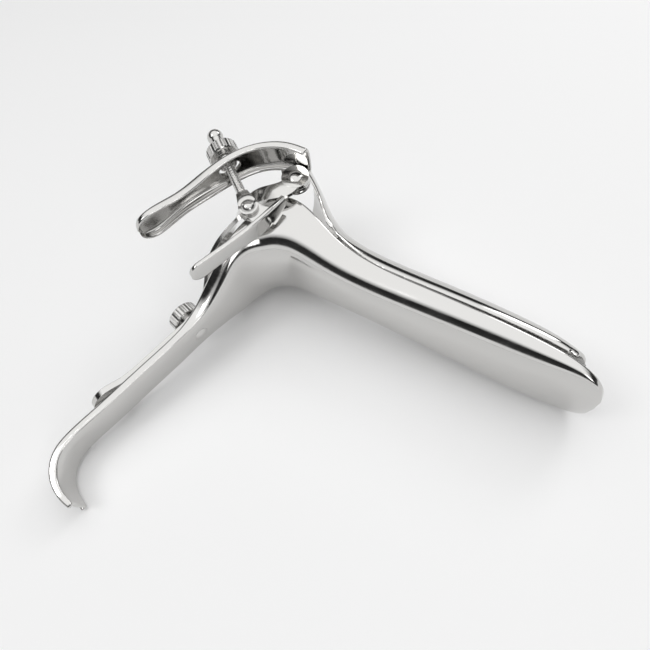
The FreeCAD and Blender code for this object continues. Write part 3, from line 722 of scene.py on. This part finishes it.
class SpeculumSettings(bpy.types.PropertyGroup):
    """Sizes and colours that a user would change."""
    steel_colour: FloatVectorProperty(
        name="Steel colour", description="Base colour of all steel", subtype="COLOR", size=3,
        default=(0.60, 0.594, 0.582), min=0.0, max=1.0)
    floor_colour: FloatVectorProperty(
        name="Floor colour", description="Colour of the plain floor", subtype="COLOR", size=3,
        default=(0.95, 0.95, 0.95), min=0.0, max=1.0)
    sheet_roughness: FloatProperty(
        name="Sheet roughness", description="Roughness of the mirror-polished sheet",
        default=0.07, min=0.0, max=1.0, subtype="FACTOR")
    turned_roughness: FloatProperty(
        name="Turned roughness", description="Roughness of nuts, rod and screws",
        default=0.16, min=0.0, max=1.0, subtype="FACTOR")
    studio_strength: FloatProperty(
        name="Studio strength", description="Strength of the world around the object",
        default=1.01, min=0.0, max=2.0)
    rib_height: FloatProperty(
        name="Rib height", description="Height of the ribs on the lever's thumb pad",
        default=0.0003, min=0.0, max=0.0006, unit="LENGTH", precision=5)
    rib_pitch: FloatProperty(
        name="Rib pitch", description="Distance between the ribs on the lever's thumb pad",
        default=0.00125, min=0.0008, max=0.0025, unit="LENGTH", precision=5)
    thread_pitch: FloatProperty(
        name="Thread pitch", description="Distance between turns of the rod's thread",
        default=0.00115, min=0.0005, max=0.003, unit="LENGTH", precision=5)
    thread_depth: FloatProperty(
        name="Thread depth", description="Depth of the rod's thread",
        default=0.0003, min=0.0001, max=0.0008, unit="LENGTH", precision=5)


class SPECULUM_OT_lower_valve(bpy.types.Operator):
    """Build the lower valve, handle and hook as one formed sheet with rounded rims."""
    bl_idname = "speculum.lower_valve"
    bl_label = "Lower valve"

    def execute(self, context):
        sections = lower_sections(SHEET / 2)
        outer = skin(sections, 0.0, VALVE_ROWS, VALVE_COLUMNS)
        inner = skin(sections, SHEET, VALVE_ROWS, VALVE_COLUMNS)
        piece = sheet_mesh("lower_valve_shell", outer, inner)
        dress(piece, polished())
        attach(piece, "lower_valve")
        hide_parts("lower_blade")
        return {"FINISHED"}


class SPECULUM_OT_upper_valve(bpy.types.Operator):
    """Build the upper valve with its collar, centre notch and hinge ears."""
    bl_idname = "speculum.upper_valve"
    bl_label = "Upper valve"

    def execute(self, context):
        outer = upper_skin(0.0, UPPER_ROWS, VALVE_COLUMNS)
        inner = upper_skin(SHEET, UPPER_ROWS, VALVE_COLUMNS)
        piece = sheet_mesh("upper_valve_shell", outer, inner)
        radius, edge = HINGE_EAR_RADIUS, EAR_EDGE
        ears = []
        rooms = []
        for side in (1.0, -1.0):
            outward = np.array([0.0, 0.0, side])
            seat = np.array([HINGE[0], HINGE[1], side * (COLLAR_HALF_WIDTH - SHEET)])
            ears.append(turned_piece("ear", seat, outward, [
                (radius - edge, 0.0), (radius, edge), (radius, SHEET - edge),
                (radius - edge, SHEET)]))
            rooms.append(cutting_pin(seat + outward * SHEET, outward, radius + EAR_ROOM,
                                     EAR_ROOM_DEPTH))
            rooms.append(cutting_pin(seat, -outward, RIVET_ROOM, RIVET_ROOM_DEPTH))
        rooms.append(cutting_pin((HINGE[0], HINGE[1], -40.0), Z_AXIS, HINGE_PIN_ROOM, 80.0))
        slot_length = 40.0
        slot_centre = (NOTCH_END + NOTCH_HALF_WIDTH - slot_length / 2, COLLAR_TOP + 1, 0.0)
        notch = round_slot(slot_centre, X_AXIS, Y_AXIS, slot_length, 2 * NOTCH_HALF_WIDTH,
                           NOTCH_DEPTH)
        carved(piece, ears, "UNION")
        carved(piece, rooms + [notch])
        dress(piece, polished())
        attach(piece, "upper_valve")
        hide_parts("upper_blade")
        return {"FINISHED"}


def lever_sections():
    """Stations of the lever from its root over the rod's crossing to the spoon-shaped tip.

    Each is a place on the outer face, the way it faces, half width, depth, bend and power, and the
    sections open the other way. The last four draw the tip in, each sunk a little.
    """
    half = LEVER_HALF_WIDTH
    bend, power = LEVER_BEND, LEVER_POWER
    stations = [((0.8, 32.9, 27.6), (0.12, 1, 0), half, 3.6, bend, power),
                ((-6.0, 32.6, 27.8), (-0.2, 1, 0), half, 3.8, bend, power),
                ((-15.5, 27.6, 28.4), (-0.62, 1, 0), half, 3.4, bend, power),
                (rod_crossing(), ROD_WAY, half, 3.3, bend, power),
                ((-28.6, 7.4, 28.4), (-1, 0.50, 0), half - 1.0, 4.2, bend, power),
                ((-33.0, -2.0, 27.2), (-1, 0.46, 0), half - 1.6, 4.0, bend, power),
                ((-36.6, -10.0, 26.6), (-1, 0.47, 0), half - 0.4, 3.8, bend, 3.0)]
    for left, width, depth, sink in ((4.6, 6.1, 3.7, 0.0), (2.3, 5.3, 3.5, 0.15),
                                     (0.9, 4.1, 3.2, 0.45), (0.1, 2.7, 2.9, 0.8)):
        at = np.array(LEVER_TIP) - PAD_WAY * left - PAD_FACING * sink
        stations.append((at, PAD_FACING, width, depth, 2.4, 2.4))
    return [(at, -unit(outward), width, depth - LEVER_RIM_ROUNDING, rise, corner)
            for at, outward, width, depth, rise, corner in stations]


class SPECULUM_OT_thumb_lever(bpy.types.Operator):
    """Build the channel lever with its spoon-shaped, ribbed pad, rod slot and lap plate."""
    bl_idname = "speculum.thumb_lever"
    bl_label = "Thumb lever"

    def execute(self, context):
        sections = lever_sections()
        outer = skin(sections, 0.0, LEVER_ROWS, LEVER_COLUMNS)
        inner = skin(sections, LEVER_SHEET, LEVER_ROWS, LEVER_COLUMNS)
        piece = sheet_mesh("thumb_lever_shell", self.ribbed(outer), inner)
        carved(piece, self.lap_plate(), "UNION")
        x, y = HINGE
        lap_face = (x, y, COLLAR_HALF_WIDTH + LEVER_SHEET)
        slot = round_slot(rod_crossing(), turned(ROD_WAY, 90), ROD_WAY, ROD_SLOT_LENGTH,
                          ROD_SLOT_WIDTH, ROD_SLOT_DEPTH)
        room = cutting_pin(lap_face, Z_AXIS, HINGE_EAR_RADIUS + EAR_ROOM, LAP_ROOM_DEPTH)
        bore = cutting_pin((x, y, 0.0), Z_AXIS, HINGE_PIN_ROOM, 40.0)
        carved(piece, [slot, room, bore])
        dress(piece, polished())
        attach(piece, "upper_valve")
        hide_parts("thumb_lever")
        return {"FINISHED"}

    def ribbed(self, outer):
        """Outer grid with ribs across the pad, which fade before its sides."""
        middle = outer[:, LEVER_COLUMNS // 2]
        run = np.cumsum(np.linalg.norm(np.diff(middle, axis=0, prepend=middle[:1]), axis=1))
        height = settings().rib_height / MM
        pitch = settings().rib_pitch / MM
        ribs = rib_wave(run[-1] - run, RIB_START, RIB_COUNT, pitch)
        reach = np.abs(outer[:, :, 2] - middle[:, None, 2]) / (RIB_REACH * LEVER_HALF_WIDTH)
        fade = np.clip((1 - reach) * RIB_FADE, 0.0, 1.0)
        return outer + (height * ribs)[:, None, None] * fade[..., None] * PAD_FACING

    def lap_plate(self):
        """The plate that laps the hinge ear, and the lever's own round ear."""
        x, y = HINGE
        z = COLLAR_HALF_WIDTH
        plan = [(x + 4.8, y - 1.0, z), (0.8, LAP_TOP - 1.6, z), (-6.0, LAP_TOP - 1.8, z),
                (-9.6, 30.2, z), (-9.4, 28.4, z), (x - 4.4, y - 1.8, z)]
        radius = HINGE_EAR_RADIUS
        ear = turned_piece("ear", (x, y, z), Z_AXIS, [
            (radius - LAP_EDGE, 0.0), (radius, LAP_EDGE), (radius, LEVER_SHEET)])
        return [prism("lap", plan, (0.0, 0.0, LEVER_SHEET)), ear]


class SPECULUM_OT_finger_rest(bpy.types.Operator):
    """Build the finger rest: a rounded strap with a ribbed end, and the lug that holds the rod."""
    bl_idname = "speculum.finger_rest"
    bl_label = "Finger rest"

    def execute(self, context):
        yoke_face = COLLAR_HALF_WIDTH + LEVER_SHEET + FACE_CLEARANCE + YOKE_SHEET
        root = yoke_face + REST_WIDTH / 2 - REST_INSET
        end = np.array([-9.6, -21.0, root - 1.4])
        pad = unit((-5.0, -12.0, -0.8))
        stations = [((0.6, 14.5, root - 1.6), (-1, 0.0, 0), 5.0),
                    ((0.8, 8.0, root - 0.4), (-1, -0.05, 0), 7.2),
                    ((-0.4, 1.0, root), (-1, 0.2, 0), REST_WIDTH),
                    ((-4.6, -9.0, root - 0.6), (-1, 0.32, 0), REST_WIDTH - 0.9),
                    (end, (-1, 0.34, 0), REST_WIDTH - 0.1),
                    (end + pad * REST_WIDTH / 2, (-1, 0.34, 0), REST_WIDTH)]
        piece = strap_piece("finger_rest_strap", stations, REST_THICKNESS, REST_ROWS, REST_COLUMNS)
        x, y, z = PIVOT
        z -= LUG_THICKNESS / 2
        radius, edge, thickness = LUG_RADIUS, LUG_EDGE, LUG_THICKNESS
        plan = [(1.0, 8.2, z), (x, y + radius, z), (x, y - radius, z), (0.2, 0.0, z)]
        lug = prism("lug", plan, (0.0, 0.0, thickness))
        disc = turned_piece("disc", (x, y, z), Z_AXIS, [
            (radius - edge, 0.0), (radius, edge), (radius, thickness - edge),
            (radius - edge, thickness)])
        carved(piece, [lug, disc], "UNION")
        carved(piece, [cutting_pin((x, y, z - 5.0), Z_AXIS, PIVOT_RADIUS, 20.0)])
        dress(piece, polished())
        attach(piece, "yoke")
        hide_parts("finger_rest")
        return {"FINISHED"}


class SPECULUM_OT_angle_rod(bpy.types.Operator):
    """Cut the rod's thread on the shank behind its fork."""
    bl_idname = "speculum.angle_rod"
    bl_label = "Threaded rod"

    def execute(self, context):
        pitch = settings().thread_pitch / MM
        depth = settings().thread_depth / MM
        start = np.array(PIVOT) + ROD_WAY * (FORK_REACH + THREAD_START)
        length = ROD_LENGTH - FORK_REACH - THREAD_START - THREAD_END
        thread = self.thread(start, length, pitch, depth)
        node = frame["nodes"]["angle_rod"]
        piece = bpy.data.objects.new("threaded_rod", node.data.copy())
        context.scene.collection.objects.link(piece)
        wide = ROD_RADIUS + 0.6
        shank = cutting_pin(start + ROD_WAY * THREAD_OVERLAP, ROD_WAY, wide, ROD_LENGTH)
        carved(piece, [shank])
        with context.temp_override(active_object=piece,
                                   selected_editable_objects=[piece, thread]):
            bpy.ops.object.join()
        dress(piece, machined())
        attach(piece, "rod")
        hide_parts("angle_rod")
        return {"FINISHED"}

    def thread(self, start, length, pitch, depth):
        """Threaded shank of radius R - d w(h / pitch - a / 2 pi)^c, w(t) = (1 - cos 2 pi t) / 2."""
        rows = int(length / pitch * THREAD_ROWS_PER_TURN)
        height = np.linspace(0.0, length, rows)
        angle = 2 * np.pi * np.arange(THREAD_COLUMNS) / THREAD_COLUMNS
        across = unit(np.cross(ROD_WAY, Z_AXIS))
        other = np.cross(ROD_WAY, across)
        phase = height[:, None] / pitch - angle[None] / (2 * np.pi)
        wave = 0.5 - 0.5 * np.cos(2 * np.pi * phase)
        from_end = np.minimum(height, length - height)
        fade = np.clip(from_end / THREAD_RUN_OUT, 0.0, 1.0)[:, None]
        radius = ROD_RADIUS - depth * fade * wave ** THREAD_CREST
        ring = np.cos(angle)[:, None] * across + np.sin(angle)[:, None] * other
        grid = start + height[:, None, None] * ROD_WAY + radius[..., None] * ring[None]
        shank = mesh_object("rod_thread", grid.reshape(-1, 3), rod_faces(rows, THREAD_COLUMNS))
        face_outward(shank)
        return shank


class SPECULUM_OT_carried_nodes(bpy.types.Operator):
    """Give the pieces that keep their solid form their steel."""
    bl_idname = "speculum.carried_nodes"
    bl_label = "Carried pieces"

    def execute(self, context):
        slots = {part["node"]: part["material_slot"] for part in frame["record"]["subparts"]}
        for name, node in frame["nodes"].items():
            dress(node, machined() if slots[name] == "turned_steel" else polished())
        return {"FINISHED"}


class SPECULUM_OT_stage(bpy.types.Operator):
    """Set the plain floor, the studio light and the camera."""
    bl_idname = "speculum.stage"
    bl_label = "Stage"

    def execute(self, context):
        scene = context.scene
        scene.view_settings.view_transform = "Standard"
        self.floor()
        self.light(scene)
        self.camera(scene)
        return {"FINISHED"}

    def floor(self):
        """Plain pale square on the ground, which keeps the object's shadow."""
        size = FLOOR_SIZE
        corners = [(-size, -size, 0), (size, -size, 0), (size, size, 0), (-size, size, 0)]
        mesh = bpy.data.meshes.new("floor")
        mesh.from_pydata(corners, [], [(0, 1, 2, 3)])
        floor = bpy.data.objects.new("floor", mesh)
        bpy.context.scene.collection.objects.link(floor)
        material = bpy.data.materials.new("floor_look")
        material.use_nodes = True
        shader = material.node_tree.nodes["Principled BSDF"]
        shader.inputs["Base Color"].default_value = (*settings().floor_colour, 1.0)
        shader.inputs["Roughness"].default_value = FLOOR_ROUGHNESS
        shader.inputs["Specular IOR Level"].default_value = FLOOR_SHEEN
        dress(floor, material)

    def light(self, scene):
        """World of grey levels by height, with a dark band for the steel, and three soft lamps."""
        world = bpy.data.worlds.new("studio")
        scene.world = world
        world.use_nodes = True
        tree = world.node_tree
        nodes, links = tree.nodes, tree.links
        background = nodes["Background"]
        coord = nodes.new("ShaderNodeTexCoord")
        split = nodes.new("ShaderNodeSeparateXYZ")
        links.new(coord.outputs["Generated"], split.inputs["Vector"])
        height = nodes.new("ShaderNodeValToRGB")
        ramp = height.color_ramp
        ramp.interpolation = "EASE"
        ramp.elements.remove(ramp.elements[1])
        for index, (position, level) in enumerate(WORLD_LEVELS):
            element = ramp.elements[0] if index == 0 else ramp.elements.new(position)
            element.position = position
            element.color = (level, level, level, 1)
        links.new(split.outputs["Z"], height.inputs["Fac"])
        links.new(height.outputs["Color"], background.inputs["Color"])
        background.inputs["Strength"].default_value = settings().studio_strength
        for name, power, size, place in LAMPS:
            lamp = bpy.data.lights.new(name, "AREA")
            lamp.energy = power
            lamp.size = size
            holder = bpy.data.objects.new(name, lamp)
            scene.collection.objects.link(holder)
            aim(holder, np.array(place), np.array(LAMP_TARGET), np.array(Z_AXIS))

    def camera(self, scene):
        """Camera fitted to the photograph's upper picture: right and ahead turned by azimuth and
        elevation, then rolled about ahead; lens = sensor x scale x distance / frame width."""
        azimuth, elevation, roll = (math.radians(angle) for angle in CAMERA_ANGLES)
        right = np.array([math.cos(azimuth), math.sin(azimuth), 0.0])
        ahead = np.array([-math.sin(azimuth) * math.cos(elevation),
                          math.cos(azimuth) * math.cos(elevation), -math.sin(elevation)])
        up = np.cross(right, ahead)
        right, up = (math.cos(roll) * right + math.sin(roll) * up,
                     -math.sin(roll) * right + math.cos(roll) * up)
        eye = placed(np.array(CAMERA_TARGET) - ahead * CAMERA_DISTANCE)
        data = bpy.data.cameras.new("camera")
        data.sensor_width = SENSOR_WIDTH
        data.lens = SENSOR_WIDTH * PIXELS_PER_MM * CROP * CAMERA_DISTANCE / FRAME_WIDTH
        data.shift_x = (SUBJECT_PIXEL[0] - TARGET_PIXEL[0]) * CROP / FRAME_WIDTH
        data.shift_y = -(SUBJECT_PIXEL[1] - TARGET_PIXEL[1]) * CROP / FRAME_WIDTH
        data.clip_start = 0.01
        holder = bpy.data.objects.new("camera", data)
        scene.collection.objects.link(holder)
        turn = np.stack([right @ AXES, up @ AXES, -(ahead @ AXES)], axis=1)
        matrix = Matrix(turn.tolist()).to_4x4()
        matrix.translation = eye.tolist()
        holder.matrix_world = matrix
        scene.camera = holder


def aim(holder, place, target, up):
    """Stand an object at a place, facing a target: z = p - t, x = up x z, y = z x x."""
    z = unit(place - target)
    x = unit(np.cross(up, z))
    matrix = Matrix(np.stack([x, np.cross(z, x), z], axis=1).tolist()).to_4x4()
    matrix.translation = place.tolist()
    holder.matrix_world = matrix


class SPECULUM_PT_panel(bpy.types.Panel):
    """Lists the sizes and the building steps."""
    bl_idname = "SPECULUM_PT_panel"
    bl_label = "Speculum"
    bl_space_type = "VIEW_3D"
    bl_region_type = "UI"
    bl_category = "Speculum"

    def draw(self, context):
        layout = self.layout
        for name in SpeculumSettings.__annotations__:
            layout.prop(context.scene.speculum_settings, name)
        for step in STEPS:
            layout.operator(step.bl_idname)


STEPS = (SPECULUM_OT_carried_nodes, SPECULUM_OT_lower_valve, SPECULUM_OT_upper_valve,
         SPECULUM_OT_thumb_lever, SPECULUM_OT_finger_rest, SPECULUM_OT_angle_rod,
         SPECULUM_OT_stage)
CLASSES = (SpeculumSettings,) + STEPS + (SPECULUM_PT_panel,)


def register():
    """Add the classes and the settings to Blender."""
    for cls in CLASSES:
        bpy.utils.register_class(cls)
    bpy.types.Scene.speculum_settings = PointerProperty(type=SpeculumSettings)


def unregister():
    """Take the settings and the classes out again."""
    del bpy.types.Scene.speculum_settings
    for cls in reversed(CLASSES):
        bpy.utils.unregister_class(cls)


def main():
    """Register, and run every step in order."""
    register()
    for step in STEPS:
        category, name = step.bl_idname.split(".")
        getattr(getattr(bpy.ops, category), name)()


if __name__ == "__main__":
    main()
